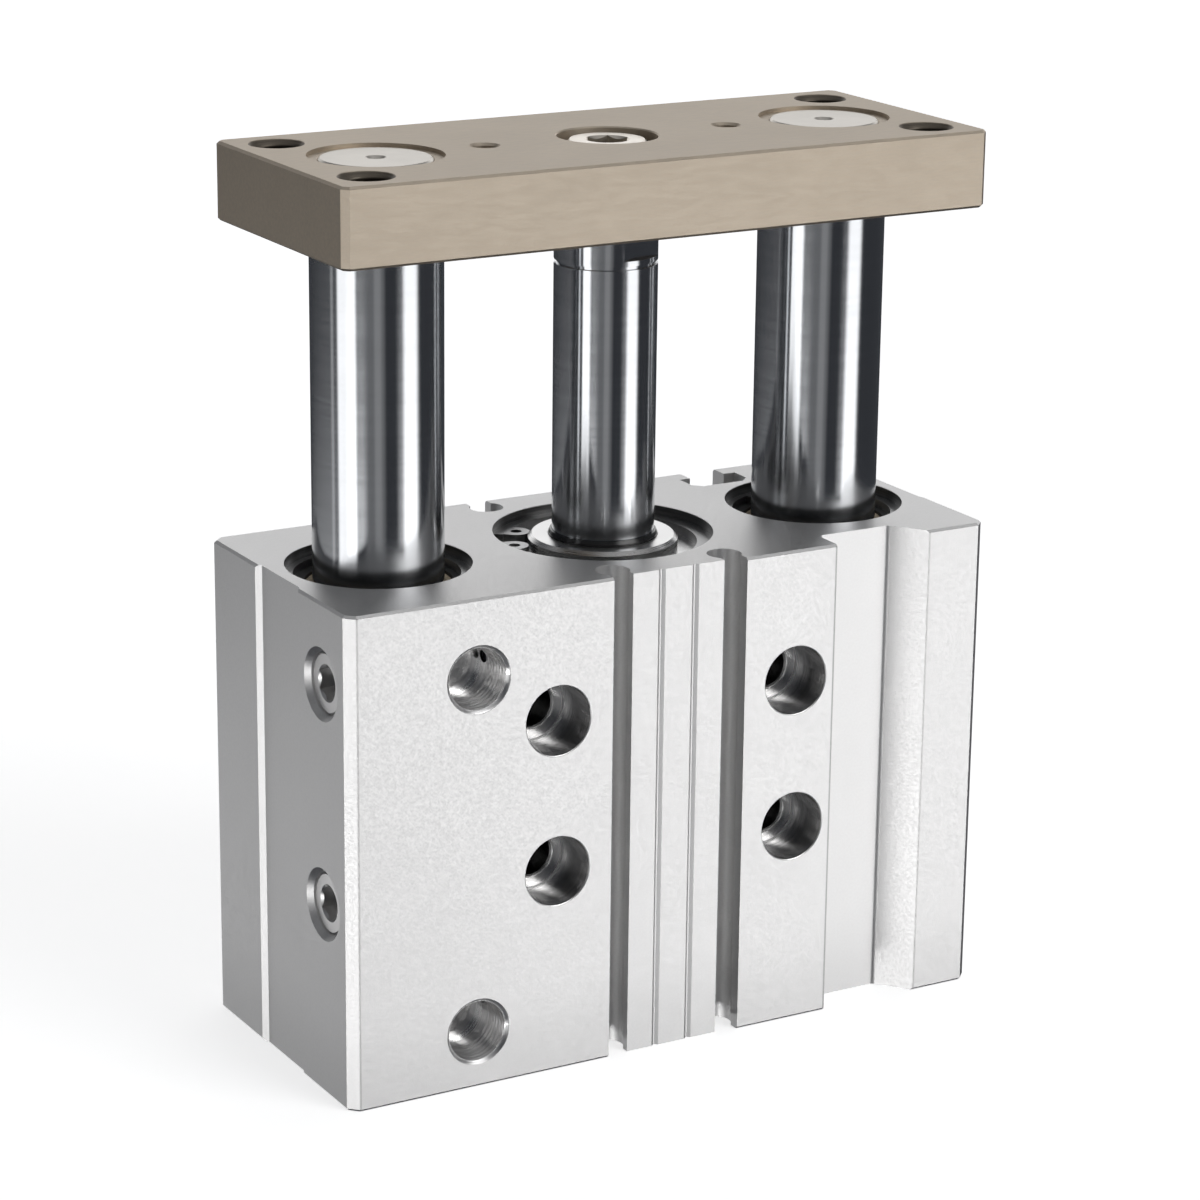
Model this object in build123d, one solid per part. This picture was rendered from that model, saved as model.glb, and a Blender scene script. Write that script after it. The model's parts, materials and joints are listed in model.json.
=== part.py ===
from build123d import *
import os
from math import cos, degrees, radians, sin, sqrt, tan

# A compact guided pneumatic cylinder, drawn with its rods fully out.
# The origin is the centre of the body's underside. Z runs along the stroke, X along the row of
# three rods, and the front face with the air ports looks along -Y.

os.makedirs("parts", exist_ok=True)

# Working sizes
bore_diameter = 32.0
stroke = 40.0
piston_rod_diameter = 16.0
guide_rod_diameter = 20.0

# Fits, as gaps on the radius
running_gap = 0.03
seat_gap = 0.01
free_gap = 0.10
stop_gap = 0.10
cut_overrun = 2.0

# Walls of the body round its three bores
body_wall = 8.0
bridge_width = 10.0
side_wall = 2.75
guide_bush_wall = 3.0
guide_seat_step = 1.25
end_seat_step = 1.25

# Body extrusion
corner_chamfer = 1.5
end_chamfer = 0.4
side_recess_width = 15.0
side_recess_depth = 0.7
side_recess_slope_run = 1.0
switch_slot_x = 9.85
switch_slot_width = 3.7
switch_slot_diameter = 5.4
switch_slot_axis_depth = 3.9
front_rib_drop = 0.7
front_groove_x = 2.95
front_groove_width = 1.2
front_groove_depth = 0.4
front_groove_slope_run = 0.5
relief_start_gap = 1.5
relief_slope_run = 4.2
relief_outer_land = 10.8
relief_depth = 5.5
relief_step_fillet = 0.8
relief_slope_fillet = 1.0
t_slot_offset = 10.5
t_slot_mouth = 6.5
t_slot_width = 10.5
t_slot_lip = 3.5
t_slot_height = 5.2
t_slot_floor_chamfer = 1.5

# Retaining rings
circlip_lug_diameter = 4.4
circlip_eye_diameter = 1.8
circlip_gap_degrees = 15.0
circlip_taper = 0.5
circlip_lug_gap = 0.3

# Head end: ring, cover and gasket, from the body's underside up
end_circlip_drop = 1.5
end_circlip_thickness = 1.5
end_circlip_width = 2.6
end_groove_depth = 0.6
head_flange_thickness = 2.2
head_spigot_length = 4.4
head_dish_diameter = 20.0
head_dish_depth = 1.0
head_gasket_lift = 1.1

# Gaskets
gasket_width = 2.0
gasket_groove_depth = 1.7

# Piston
piston_length = 11.4
bumper_rise = 1.4
bumper_sink = 1.0
bumper_outer_inset = 3.0
bumper_width = 3.5
piston_land = 1.0
piston_seal_width = 3.2
piston_seal_depth = 3.4
wear_ring_width = 4.2
wear_ring_thickness = 1.2
magnet_thickness = 2.6
piston_spigot_diameter = 10.0
piston_spigot_chamfer = 0.8

# Rod end: cover, seal, bush and ring, from the body's top down
cover_flange_thickness = 4.0
cover_spigot_length = 6.5
cover_nose_inset = 2.5
cover_nose_length = 2.8
cover_boss_wall = 1.4
cover_boss_drop = 0.4
cover_boss_chamfer = 0.6
cover_lip_thickness = 2.0
rod_seal_width = 2.3
rod_seal_height = 4.5
rod_wiper_rise = 0.8
rod_wiper_wall = 0.5
rod_bush_wall = 1.3
cover_ring_gap_angle = 150.0

# Guide bearings
guide_bush_length = 20.0
guide_bush_inset = 0.8
guide_circlip_drop = 1.7
guide_circlip_thickness = 1.2
guide_circlip_width = 2.0
guide_groove_depth = 0.5
guide_lug_diameter = 3.2
guide_eye_diameter = 1.4
guide_ring_gap_angle = 90.0
felt_holder_height = 6.1
felt_holder_floor = 1.2
felt_width = 1.4
felt_drop = 0.3
guide_rod_tail = 2.5
guide_rod_end_chamfer = 1.0

# Air ports
port_offset = 4.5
port_thread_diameter = 9.7
port_mouth = 10.7
port_floor_lead = 1.1
air_passage_diameter = 2.0
air_passage_lead = 1.2
air_passage_floor_gap = 1.8
air_passage_angle = 25.0
upper_port_lift = 1.0
upper_passage_lift = 0.8
lower_port_drop = 0.6
lower_passage_lift = 0.35
side_port_inset = 9.0
side_port_mouth = 11.3
side_port_wall = 0.8
side_port_lower_lead = 7.0
side_link_depth = 5.5
plug_end_gap = 0.5
plug_recess = 1.0
plug_socket = 5.0
plug_socket_depth = 3.6
pipe_thread_slope = 1 / 32

# Body fixing holes
fixing_hole_spacing_z = 24.0
fixing_hole_drop = 21.0
fixing_hole_diameter = 6.8
fixing_counterbore = 11.0
fixing_counterbore_depth = 8.4
fixing_rim_chamfer = 0.4
fixing_mouth_chamfer = 0.15
thread_diameter = 8.0
thread_mouth = 8.6
rear_thread_depth = 16.0
base_thread_margin = 7.0
base_thread_depth = 20.0
drill_point_degrees = 31.0

# End plate
plate_thickness = 12.0
plate_edge_margin = 7.0
plate_gap = 10.0
plate_corner_chamfer = 1.0
plate_edge_chamfer = 0.4
plate_thread_spacing_x = 96.0
plate_thread_spacing_y = 30.0
plate_pin_spacing = 42.0
plate_pin_diameter = 4.0
plate_pin_depth = 6.0
plate_bolt_head_gap = 1.25
plate_bolt_drop = 0.6
plate_bolt_hole_gap = 0.5
rod_end_shoulder = 1.5
rod_end_recess_gap = 0.25
rod_end_recess_depth = 0.6
rod_end_drop = 0.35
rod_end_chamfer = 0.3
centre_drill_diameter = 1.6
centre_drill_depth = 1.2

# Plate screw and the piston rod's top
bolt_diameter = 8.0
bolt_length = 20.0
bolt_head_diameter = 13.0
bolt_head_height = 8.0
bolt_head_chamfer = 0.8
bolt_socket = 6.0
bolt_socket_depth = 4.2
bolt_hole_spare = 4.0
wrench_flat_depth = 1.0
wrench_flat_height = 6.0
wrench_flat_angle = -70.5
neck_groove_drop = 6.8
neck_groove_width = 0.6
neck_groove_depth = 0.35

# Diameters that follow from the rods and the bore
end_seat_diameter = bore_diameter + 2 * end_seat_step
end_groove_diameter = end_seat_diameter + 2 * end_groove_depth
guide_bush_diameter = guide_rod_diameter + 2 * guide_bush_wall
guide_seat_diameter = guide_bush_diameter + 2 * guide_seat_step
guide_groove_diameter = guide_seat_diameter + 2 * guide_groove_depth
felt_diameter = guide_rod_diameter + 2 * felt_width
rod_seal_diameter = piston_rod_diameter + 2 * rod_seal_width
rod_bush_diameter = piston_rod_diameter + 2 * rod_bush_wall
cover_boss_diameter = rod_seal_diameter + 2 * cover_boss_wall
rod_end_diameter = guide_rod_diameter - 2 * rod_end_shoulder

# Places across the body
guide_spacing = bore_diameter + guide_bush_diameter + 2 * bridge_width
guide_positions = {"left": -guide_spacing / 2, "right": guide_spacing / 2}
body_width = guide_spacing + guide_seat_diameter + 2 * side_wall
body_depth = bore_diameter + 2 * body_wall
fixing_hole_x = (bore_diameter + bridge_width) / 2
t_slot_x = fixing_hole_x + t_slot_offset
relief_start_x = fixing_hole_x + fixing_counterbore / 2 + relief_start_gap
relief_end_x = body_width / 2 - relief_outer_land
port_x = guide_spacing / 2 - port_offset
port_depth = body_wall + port_floor_lead
side_port_y = body_depth / 2 - side_port_inset
side_port_reach = side_port_y - port_thread_diameter / 2
side_port_chord = sqrt((guide_bush_diameter / 2) ** 2 - side_port_reach**2)
side_port_depth = (body_width - guide_spacing) / 2 - side_port_chord - side_port_wall
plug_length = side_port_depth - plug_recess - plug_end_gap
plate_width = plate_thread_spacing_x + 2 * plate_edge_margin
plate_depth = plate_thread_spacing_y + 2 * plate_edge_margin

# Levels along the stroke
head_seat = end_circlip_drop + end_circlip_thickness + head_flange_thickness
head_top = head_seat + head_spigot_length
piston_stack = piston_length + 2 * bumper_rise
cover_nose = head_top + stroke + piston_stack + 2 * stop_gap
cover_seat = cover_nose + cover_spigot_length
cover_flange_top = cover_seat + cover_flange_thickness
body_height = cover_flange_top + end_circlip_thickness + end_circlip_drop
piston_top = cover_nose - stop_gap - bumper_rise
piston_bottom = piston_top - piston_length
guide_seat = body_height - guide_circlip_drop - guide_circlip_thickness - felt_holder_height
plate_bottom = body_height + plate_gap + stroke
plate_top = plate_bottom + plate_thickness
bolt_seat = plate_top - plate_bolt_drop - bolt_head_height
upper_port_z = cover_nose + upper_port_lift
lower_port_z = head_top - lower_port_drop
side_port_levels = {"upper": upper_port_z, "lower": body_height - stroke - side_port_lower_lead}

centre_min = (Align.CENTER, Align.CENTER, Align.MIN)
centre_max = (Align.CENTER, Align.CENTER, Align.MAX)


# Shared forms


def turned(*points):
    """A solid of revolution about Z from (radius, height) points."""
    return revolve(Plane.XZ * Polygon(*points, align=None), Axis.Z)


def post(diameter, bottom, top):
    """A round bar on the Z axis."""
    return Pos(0, 0, bottom) * Cylinder(diameter / 2, top - bottom, align=centre_min)


def ring(outer_diameter, inner_diameter, bottom, top):
    """A plain ring on the Z axis."""
    section = Circle(outer_diameter / 2) - Circle(inner_diameter / 2)
    return Pos(0, 0, bottom) * extrude(section, top - bottom)


def drilled(diameter, depth, mouth, pointed=True):
    """A drill's cut: its mouth is at z = 0 and it runs down to -depth."""
    radius = diameter / 2
    rim = mouth / 2
    point = radius * tan(radians(drill_point_degrees)) if pointed else 0
    return turned(
        (0, cut_overrun),
        (rim, cut_overrun),
        (rim, 0),
        (radius, radius - rim),
        (radius, -depth),
        (0, -depth - point),
    )


def hex_socket(across_flats, depth):
    """The cut of a hexagon socket, down from z = 0, with a conical floor."""
    corner_radius = across_flats / 2 / cos(radians(30))
    prism = extrude(RegularPolygon(corner_radius, 6), -depth)
    mouth = drilled(across_flats, depth, 2 * corner_radius)
    return prism + mouth


def circlip(groove_diameter, ring_width, thickness, lug_diameter, eye_diameter, lug_tip, gap_angle):
    """An internal retaining ring: tapered band, gap, and two lugs with eyes."""
    outer_radius = groove_diameter / 2 - seat_gap
    toward_gap = Rot(0, 0, gap_angle) * Pos(circlip_taper, 0)
    band = Circle(outer_radius) - toward_gap * Circle(outer_radius - ring_width)
    lug_radius = lug_diameter / 2
    lug_reach = lug_tip + lug_radius
    half_gap = circlip_gap_degrees / 2
    lug_step = half_gap + degrees(lug_radius / lug_reach)
    for turn in (gap_angle - lug_step, gap_angle + lug_step):
        seat = Rot(0, 0, turn) * Pos(lug_reach, 0)
        root = Pos(lug_radius, 0) * Rectangle(lug_diameter, lug_diameter)
        band = band + seat * (Circle(lug_radius) + root)
        band = band - seat * Circle(eye_diameter / 2)
    band = band & Circle(outer_radius)
    reach = 2 * outer_radius
    wedge_half_width = reach * tan(radians(half_gap))
    wedge = Polygon((0, 0), (reach, -wedge_half_width), (reach, wedge_half_width), align=None)
    return extrude(band - Rot(0, 0, gap_angle) * wedge, thickness)


# Places on the body's faces, each with its local Z pointing outward


def on_front(x, z):
    return Pos(x, -body_depth / 2, z) * Rot(90, 0, 0)


def on_back(x, z):
    return Pos(x, body_depth / 2, z) * Rot(-90, 0, 0)


def on_left(y, z):
    return Pos(-body_width / 2, y, z) * Rot(0, -90, 0)


def on_base(x, y):
    return Pos(x, y, 0) * Rot(180, 0, 0)


def rectangle_of_places(spacing_a, spacing_b):
    """The four corners of a hole pattern."""
    return [(a * spacing_a / 2, b * spacing_b / 2) for a in (-1, 1) for b in (-1, 1)]


# Body


def switch_slot():
    """Round-bottomed sensor groove, cut upward from a face at y = 0."""
    mouth_depth = switch_slot_axis_depth + cut_overrun
    mouth = Pos(0, -cut_overrun) * Rectangle(
        switch_slot_width, mouth_depth, align=(Align.CENTER, Align.MIN)
    )
    return mouth + Pos(0, switch_slot_axis_depth) * Circle(switch_slot_diameter / 2)


def t_slot():
    """T-slot for nuts, cut upward from a face at y = 0."""
    mouth = Pos(0, -cut_overrun) * Rectangle(
        t_slot_mouth, t_slot_lip + cut_overrun, align=(Align.CENTER, Align.MIN)
    )
    chamber = Rectangle(t_slot_width, t_slot_height, align=(Align.CENTER, Align.MIN))
    floor_corners = chamber.vertices().sort_by(Axis.Y)[-2:]
    return mouth + Pos(0, t_slot_lip) * chamfer(floor_corners, t_slot_floor_chamfer)


def relief():
    """The wide relief on the right of the front face, cut upward from y = 0."""
    slope = relief_slope_run / relief_depth
    channel = Polygon(
        (relief_start_x, -cut_overrun),
        (relief_end_x + slope * cut_overrun, -cut_overrun),
        (relief_end_x - relief_slope_run, relief_depth),
        (relief_start_x, relief_depth),
        align=None,
    )
    step_corner = channel.vertices().sort_by(Axis.X)[:2].sort_by(Axis.Y)[-1]
    channel = fillet(step_corner, relief_step_fillet)
    slope_corner = channel.vertices().sort_by(Axis.Y)[-2:].sort_by(Axis.X)[-1]
    return fillet(slope_corner, relief_slope_fillet)


def sloped_groove(width, depth, slope_run):
    """A shallow groove with sloped flanks, cut upward from a face at y = 0."""
    mouth = width / 2
    floor = mouth - slope_run
    spread = slope_run / depth * cut_overrun
    return Polygon(
        (-mouth - spread, -cut_overrun),
        (mouth + spread, -cut_overrun),
        (floor, depth),
        (-floor, depth),
        align=None,
    )


def body_grooves():
    """Everything the extrusion die leaves open along the body's length."""
    rib_half_width = switch_slot_x - switch_slot_width / 2
    rib_cut_depth = front_rib_drop + cut_overrun
    front = Pos(0, -cut_overrun) * Rectangle(
        2 * rib_half_width, rib_cut_depth, align=(Align.CENTER, Align.MIN)
    )
    front = front + relief()
    rib_groove = sloped_groove(front_groove_width, front_groove_depth, front_groove_slope_run)
    recess = sloped_groove(side_recess_width, side_recess_depth, side_recess_slope_run)
    back = Sketch()
    for side in (-1, 1):
        front = front + Pos(side * front_groove_x, front_rib_drop) * rib_groove
        front = front + Pos(side * switch_slot_x, 0) * switch_slot()
        back = back + Pos(side * switch_slot_x, 0) * switch_slot()
        back = back + Pos(side * t_slot_x, 0) * t_slot()
    grooves = Pos(0, -body_depth / 2) * front + Pos(0, body_depth / 2) * Rot(0, 0, 180) * back
    for side in (-1, 1):
        grooves = grooves + Pos(side * body_width / 2, 0) * Rot(0, 0, side * 90) * recess
    return grooves


def cylinder_bore():
    """The piston's bore with its two cover seats and ring grooves."""
    lower_ring = end_circlip_drop
    upper_ring = body_height - end_circlip_drop - end_circlip_thickness
    cut = post(bore_diameter, -cut_overrun, body_height + cut_overrun)
    cut = cut + post(end_seat_diameter, -cut_overrun, head_seat)
    cut = cut + post(end_seat_diameter, cover_seat, body_height + cut_overrun)
    cut = cut + post(end_groove_diameter, lower_ring, lower_ring + end_circlip_thickness)
    return cut + post(end_groove_diameter, upper_ring, upper_ring + end_circlip_thickness)


def guide_bore():
    """One guide bore: bush bore, felt seat and ring groove."""
    ring_top = body_height - guide_circlip_drop
    cut = post(guide_bush_diameter, -cut_overrun, body_height + cut_overrun)
    cut = cut + post(guide_seat_diameter, guide_seat, body_height + cut_overrun)
    return cut + post(guide_groove_diameter, ring_top - guide_circlip_thickness, ring_top)


def side_port_radius(depth):
    """Radius of a plugged side port's tapered wall at a depth below the body's face."""
    mouth_depth = (side_port_mouth - port_thread_diameter) / 2
    return port_thread_diameter / 2 - (depth - mouth_depth) * pipe_thread_slope


def side_port():
    """The tapered cut of a plugged side port, its mouth at z = 0."""
    mouth_radius = side_port_mouth / 2
    mouth_depth = mouth_radius - port_thread_diameter / 2
    return turned(
        (0, cut_overrun),
        (mouth_radius, cut_overrun),
        (mouth_radius, 0),
        (side_port_radius(mouth_depth), -mouth_depth),
        (side_port_radius(side_port_depth), -side_port_depth),
        (0, -side_port_depth),
    )


def port_cuts():
    """The two front ports, their passages to the bore, and the two side ports."""
    port = drilled(port_thread_diameter, port_depth, port_mouth, pointed=False)
    passage_radius = air_passage_diameter / 2
    passage_start_x = port_thread_diameter / 2 - air_passage_lead - port_x
    passage_start_y = port_depth - air_passage_floor_gap - body_depth / 2
    passage_length = port_x - bore_diameter / 4
    passages = (
        (upper_port_z, upper_port_z + upper_passage_lift),
        (lower_port_z, head_top + lower_passage_lift + passage_radius),
    )
    cuts = []
    for port_z, passage_z in passages:
        cuts.append(on_front(-port_x, port_z) * port)
        start = Pos(passage_start_x, passage_start_y, passage_z) * Rot(0, 0, air_passage_angle)
        cuts.append(start * Rot(0, 90, 0) * Cylinder(passage_radius, passage_length, align=centre_min))
    for level in side_port_levels.values():
        cuts.append(on_left(-side_port_y, level) * side_port())
    link = Pos(-body_width / 2 + side_port_depth, -body_depth / 2 + side_link_depth, upper_port_z)
    link_length = body_width / 2 - side_port_depth - port_x
    cuts.append(link * Rot(0, 90, 0) * Cylinder(passage_radius, link_length, align=centre_min))
    return cuts


def fixing_cuts():
    """The cross holes that bolt the body down from the front, back or base."""
    middle_z = body_height - fixing_hole_drop - fixing_hole_spacing_z / 2
    head_mouth = fixing_counterbore + 2 * fixing_mouth_chamfer
    head_cut = drilled(fixing_counterbore, fixing_counterbore_depth, head_mouth, pointed=False)
    rim = fixing_hole_diameter + 2 * fixing_rim_chamfer
    shank_cut = drilled(fixing_hole_diameter, body_depth, rim, pointed=False)
    shank_place = Pos(0, 0, -fixing_counterbore_depth)
    rear_thread = drilled(thread_diameter, rear_thread_depth, thread_mouth)
    cuts = []
    for x, z in rectangle_of_places(2 * fixing_hole_x, fixing_hole_spacing_z):
        cuts.append(on_front(x, middle_z + z) * head_cut)
        cuts.append(on_front(x, middle_z + z) * shank_place * shank_cut)
        cuts.append(on_back(x, middle_z + z) * rear_thread)
    base_thread = drilled(thread_diameter, base_thread_depth, thread_mouth)
    base_spacing_x = body_width - 2 * base_thread_margin
    base_spacing_y = body_depth - 2 * base_thread_margin
    for x, y in rectangle_of_places(base_spacing_x, base_spacing_y):
        cuts.append(on_base(x, y) * base_thread)
    return cuts


def body():
    outline = Rectangle(body_width, body_depth)
    outline = chamfer(outline.vertices(), corner_chamfer)
    block = extrude(outline, body_height)
    rims = block.edges().group_by(Axis.Z)[0] + block.edges().group_by(Axis.Z)[-1]
    block = chamfer(rims, end_chamfer)
    block = block - Pos(0, 0, -cut_overrun) * extrude(body_grooves(), body_height + 2 * cut_overrun)
    block = block - cylinder_bore()
    for x in guide_positions.values():
        block = block - Pos(x, 0, 0) * guide_bore()
    return block - port_cuts() - fixing_cuts()


# Rod end


def gasket_seat(bottom):
    """The cut of a gasket groove in a cover's spigot."""
    floor = bore_diameter - 2 * gasket_groove_depth
    return ring(bore_diameter + 2 * free_gap, floor, bottom, bottom + gasket_width)


def gasket(bottom):
    """A packing ring with eased edges that fills its groove and meets the bore."""
    outer = bore_diameter - 2 * seat_gap
    inner = bore_diameter - 2 * gasket_groove_depth + 2 * seat_gap
    band = ring(outer, inner, bottom, bottom + gasket_width)
    return chamfer(band.edges(), gasket_width / 4)


def rod_cover_gasket_z():
    return (cover_nose + cover_nose_length + cover_seat - gasket_width) / 2


def rod_seal_bottom():
    return body_height - cover_boss_drop - cover_lip_thickness - rod_seal_height


def rod_cover():
    spigot_radius = bore_diameter / 2 - seat_gap
    flange_radius = end_seat_diameter / 2 - seat_gap
    boss_radius = cover_boss_diameter / 2
    boss_top = body_height - cover_boss_drop
    nose_radius = bore_diameter / 2 - cover_nose_inset
    cover = turned(
        (0, cover_nose),
        (nose_radius, cover_nose),
        (nose_radius, cover_nose + cover_nose_length),
        (spigot_radius, cover_nose + cover_nose_length),
        (spigot_radius, cover_seat),
        (flange_radius, cover_seat),
        (flange_radius, cover_flange_top),
        (boss_radius, cover_flange_top),
        (boss_radius, boss_top - cover_boss_chamfer),
        (boss_radius - cover_boss_chamfer, boss_top),
        (0, boss_top),
    )
    seal_bottom = rod_seal_bottom()
    cover = cover - post(piston_rod_diameter + 2 * rod_wiper_wall + 2 * free_gap, cover_nose, boss_top)
    cover = cover - post(rod_bush_diameter, cover_nose, seal_bottom)
    cover = cover - post(rod_seal_diameter, seal_bottom, seal_bottom + rod_seal_height)
    return cover - gasket_seat(rod_cover_gasket_z())


def rod_bush():
    outer = rod_bush_diameter - 2 * seat_gap
    inner = piston_rod_diameter + 2 * running_gap
    return ring(outer, inner, cover_nose, rod_seal_bottom())


def rod_seal():
    """A lip seal: two lips open to the pressure below, and a wiper stands out of the cover's eye."""
    bottom = rod_seal_bottom()
    top = bottom + rod_seal_height
    wiper_top = body_height - cover_boss_drop + rod_wiper_rise
    outer = rod_seal_diameter / 2 - seat_gap
    inner = piston_rod_diameter / 2 + running_gap
    wiper = inner + rod_wiper_wall
    middle = (outer + inner) / 2
    slack = (outer - inner) / 8
    return turned(
        (inner, bottom),
        (inner + 2 * slack, bottom),
        (middle, bottom + rod_seal_height / 3),
        (outer - 2 * slack, bottom),
        (outer, bottom),
        (outer, top),
        (wiper, top),
        (wiper, wiper_top - rod_wiper_wall),
        (inner + rod_wiper_wall / 2, wiper_top),
        (inner, wiper_top),
        (inner, wiper_top - rod_wiper_wall),
        (inner + slack / 2, top),
        (inner + slack / 2, top - rod_seal_height / 3),
        (inner, bottom + rod_seal_height / 3),
    )


def end_circlip(bottom, gap_angle):
    clip = circlip(
        end_groove_diameter,
        end_circlip_width,
        end_circlip_thickness,
        circlip_lug_diameter,
        circlip_eye_diameter,
        cover_boss_diameter / 2 + circlip_lug_gap,
        gap_angle,
    )
    return Pos(0, 0, bottom) * clip


# Head end


def head_gasket_z():
    return head_seat + head_gasket_lift


def head_cover():
    flange_radius = end_seat_diameter / 2 - seat_gap
    spigot_radius = bore_diameter / 2 - seat_gap
    flange_bottom = end_circlip_drop + end_circlip_thickness
    cover = turned(
        (0, flange_bottom + head_dish_depth),
        (head_dish_diameter / 2, flange_bottom + head_dish_depth),
        (head_dish_diameter / 2, flange_bottom),
        (flange_radius, flange_bottom),
        (flange_radius, head_seat),
        (spigot_radius, head_seat),
        (spigot_radius, head_top - end_chamfer),
        (spigot_radius - end_chamfer, head_top),
        (0, head_top),
    )
    return cover - gasket_seat(head_gasket_z())


# Guide bearings


def guide_bush(bottom):
    outer = guide_bush_diameter - 2 * seat_gap
    inner = guide_rod_diameter + 2 * running_gap
    bush = ring(outer, inner, bottom, bottom + guide_bush_length)
    return chamfer(bush.edges(), end_chamfer)


def felt_holder():
    """A cup that carries the oil felt above the upper bush."""
    outer = guide_seat_diameter / 2 - seat_gap
    inner = felt_diameter / 2 + seat_gap
    eye = guide_rod_diameter / 2 + 4 * free_gap
    top = guide_seat + felt_holder_height
    return turned(
        (eye, guide_seat),
        (outer, guide_seat),
        (outer, top),
        (inner, top),
        (inner, guide_seat + felt_holder_floor),
        (eye, guide_seat + felt_holder_floor),
    )


def guide_felt():
    bottom = guide_seat + felt_holder_floor
    top = guide_seat + felt_holder_height - felt_drop
    felt = ring(felt_diameter, guide_rod_diameter + 2 * running_gap, bottom, top)
    return chamfer(felt.edges().group_by(Axis.Z)[-1], felt_drop)


def guide_circlip():
    clip = circlip(
        guide_groove_diameter,
        guide_circlip_width,
        guide_circlip_thickness,
        guide_lug_diameter,
        guide_eye_diameter,
        guide_rod_diameter / 2 + circlip_lug_gap,
        guide_ring_gap_angle,
    )
    return Pos(0, 0, body_height - guide_circlip_drop - guide_circlip_thickness) * clip


def port_plug():
    """A taper plug with a hexagon socket, sunk a little below the body's face."""
    shoulder_depth = plug_recess + end_chamfer
    end_depth = plug_recess + plug_length
    shoulder_radius = side_port_radius(shoulder_depth) - seat_gap
    plug = turned(
        (0, -plug_recess),
        (shoulder_radius - end_chamfer, -plug_recess),
        (shoulder_radius, -shoulder_depth),
        (side_port_radius(end_depth) - seat_gap, -end_depth),
        (0, -end_depth),
    )
    return plug - Pos(0, 0, -plug_recess) * hex_socket(plug_socket, plug_socket_depth)


# Moving group


def guide_rod():
    """A hardened guide rod with a reduced end that is set into the plate."""
    radius = guide_rod_diameter / 2
    end_radius = rod_end_diameter / 2 - seat_gap
    rod_end_top = plate_top - rod_end_drop
    rod = turned(
        (0, guide_rod_tail),
        (radius - guide_rod_end_chamfer, guide_rod_tail),
        (radius, guide_rod_tail + guide_rod_end_chamfer),
        (radius, plate_bottom),
        (end_radius, plate_bottom),
        (end_radius, rod_end_top - rod_end_chamfer),
        (end_radius - rod_end_chamfer, rod_end_top),
        (0, rod_end_top),
    )
    centre_drill = drilled(centre_drill_diameter, centre_drill_depth, 2 * centre_drill_diameter)
    return rod - Pos(0, 0, rod_end_top) * centre_drill


def piston_rod():
    """The piston rod: riveted foot, ground shank, wrench flats and a tapped top."""
    foot_top = piston_top - bumper_sink
    radius = piston_rod_diameter / 2
    rod = post(piston_rod_diameter, foot_top, plate_bottom)
    foot = post(piston_spigot_diameter - 2 * seat_gap, piston_bottom, foot_top)
    rod = rod + chamfer(foot.edges().group_by(Axis.Z)[0], piston_spigot_chamfer)
    flat = Box(2 * wrench_flat_depth, piston_rod_diameter, wrench_flat_height, align=centre_max)
    for side in (0, 180):
        turn = Rot(0, 0, wrench_flat_angle + side)
        rod = rod - Pos(0, 0, plate_bottom) * turn * Pos(radius, 0, 0) * flat
    groove_z = plate_bottom - neck_groove_drop
    groove_floor = piston_rod_diameter - 2 * neck_groove_depth
    outside = piston_rod_diameter + cut_overrun
    rod = rod - ring(outside, groove_floor, groove_z - neck_groove_width, groove_z)
    hole_depth = plate_bottom - bolt_seat + bolt_length + bolt_hole_spare
    threaded_hole = drilled(bolt_diameter + 2 * seat_gap, hole_depth, bolt_diameter + 2 * end_chamfer)
    return rod - Pos(0, 0, plate_bottom) * threaded_hole


def piston_groove_levels():
    """Bottom of the wear ring's groove and bottom of the seal's groove."""
    inner_length = wear_ring_width + piston_land + piston_seal_width
    first = piston_bottom + (piston_length - inner_length) / 2
    return first, first + wear_ring_width + piston_land


def piston():
    """The piston: grooves for seal, wear ring and magnet, and bumper seats."""
    wear_z, seal_z = piston_groove_levels()
    outer = bore_diameter - 4 * free_gap
    disc = chamfer(post(outer, piston_bottom, piston_top).edges(), end_chamfer)
    seal_floor = bore_diameter - 2 * piston_seal_depth
    magnet_floor = bore_diameter - 2 * (wear_ring_thickness + magnet_thickness)
    disc = disc - ring(bore_diameter, seal_floor, seal_z, seal_z + piston_seal_width)
    disc = disc - ring(bore_diameter, magnet_floor, wear_z, wear_z + wear_ring_width)
    disc = disc - post(piston_spigot_diameter, piston_bottom, piston_top)
    disc = disc - post(piston_rod_diameter + 2 * seat_gap, piston_top - bumper_sink, piston_top)
    bumper_outer = bore_diameter - 2 * bumper_outer_inset
    for bottom in (piston_bottom, piston_top - bumper_sink):
        disc = disc - ring(bumper_outer, bumper_outer - 2 * bumper_width, bottom, bottom + bumper_sink)
    return disc


def piston_seal():
    """The piston's packing, with two lips that reach the bore."""
    _, bottom = piston_groove_levels()
    inner = bore_diameter / 2 - piston_seal_depth + seat_gap
    outer = bore_diameter / 2 - running_gap
    waist = outer - piston_seal_depth / 5
    top = bottom + piston_seal_width
    lip = piston_seal_width / 4
    return turned(
        (inner, bottom),
        (waist, bottom),
        (outer, bottom + lip),
        (waist, bottom + 2 * lip),
        (outer, top - lip),
        (waist, top),
        (inner, top),
    )


def wear_ring():
    bottom, _ = piston_groove_levels()
    outer = bore_diameter - 2 * running_gap
    inner = bore_diameter - 2 * wear_ring_thickness
    return ring(outer, inner, bottom, bottom + wear_ring_width)


def magnet():
    bottom, _ = piston_groove_levels()
    outer = bore_diameter - 2 * wear_ring_thickness - 2 * seat_gap
    inner = bore_diameter - 2 * (wear_ring_thickness + magnet_thickness) + 2 * seat_gap
    return ring(outer, inner, bottom, bottom + wear_ring_width)


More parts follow.
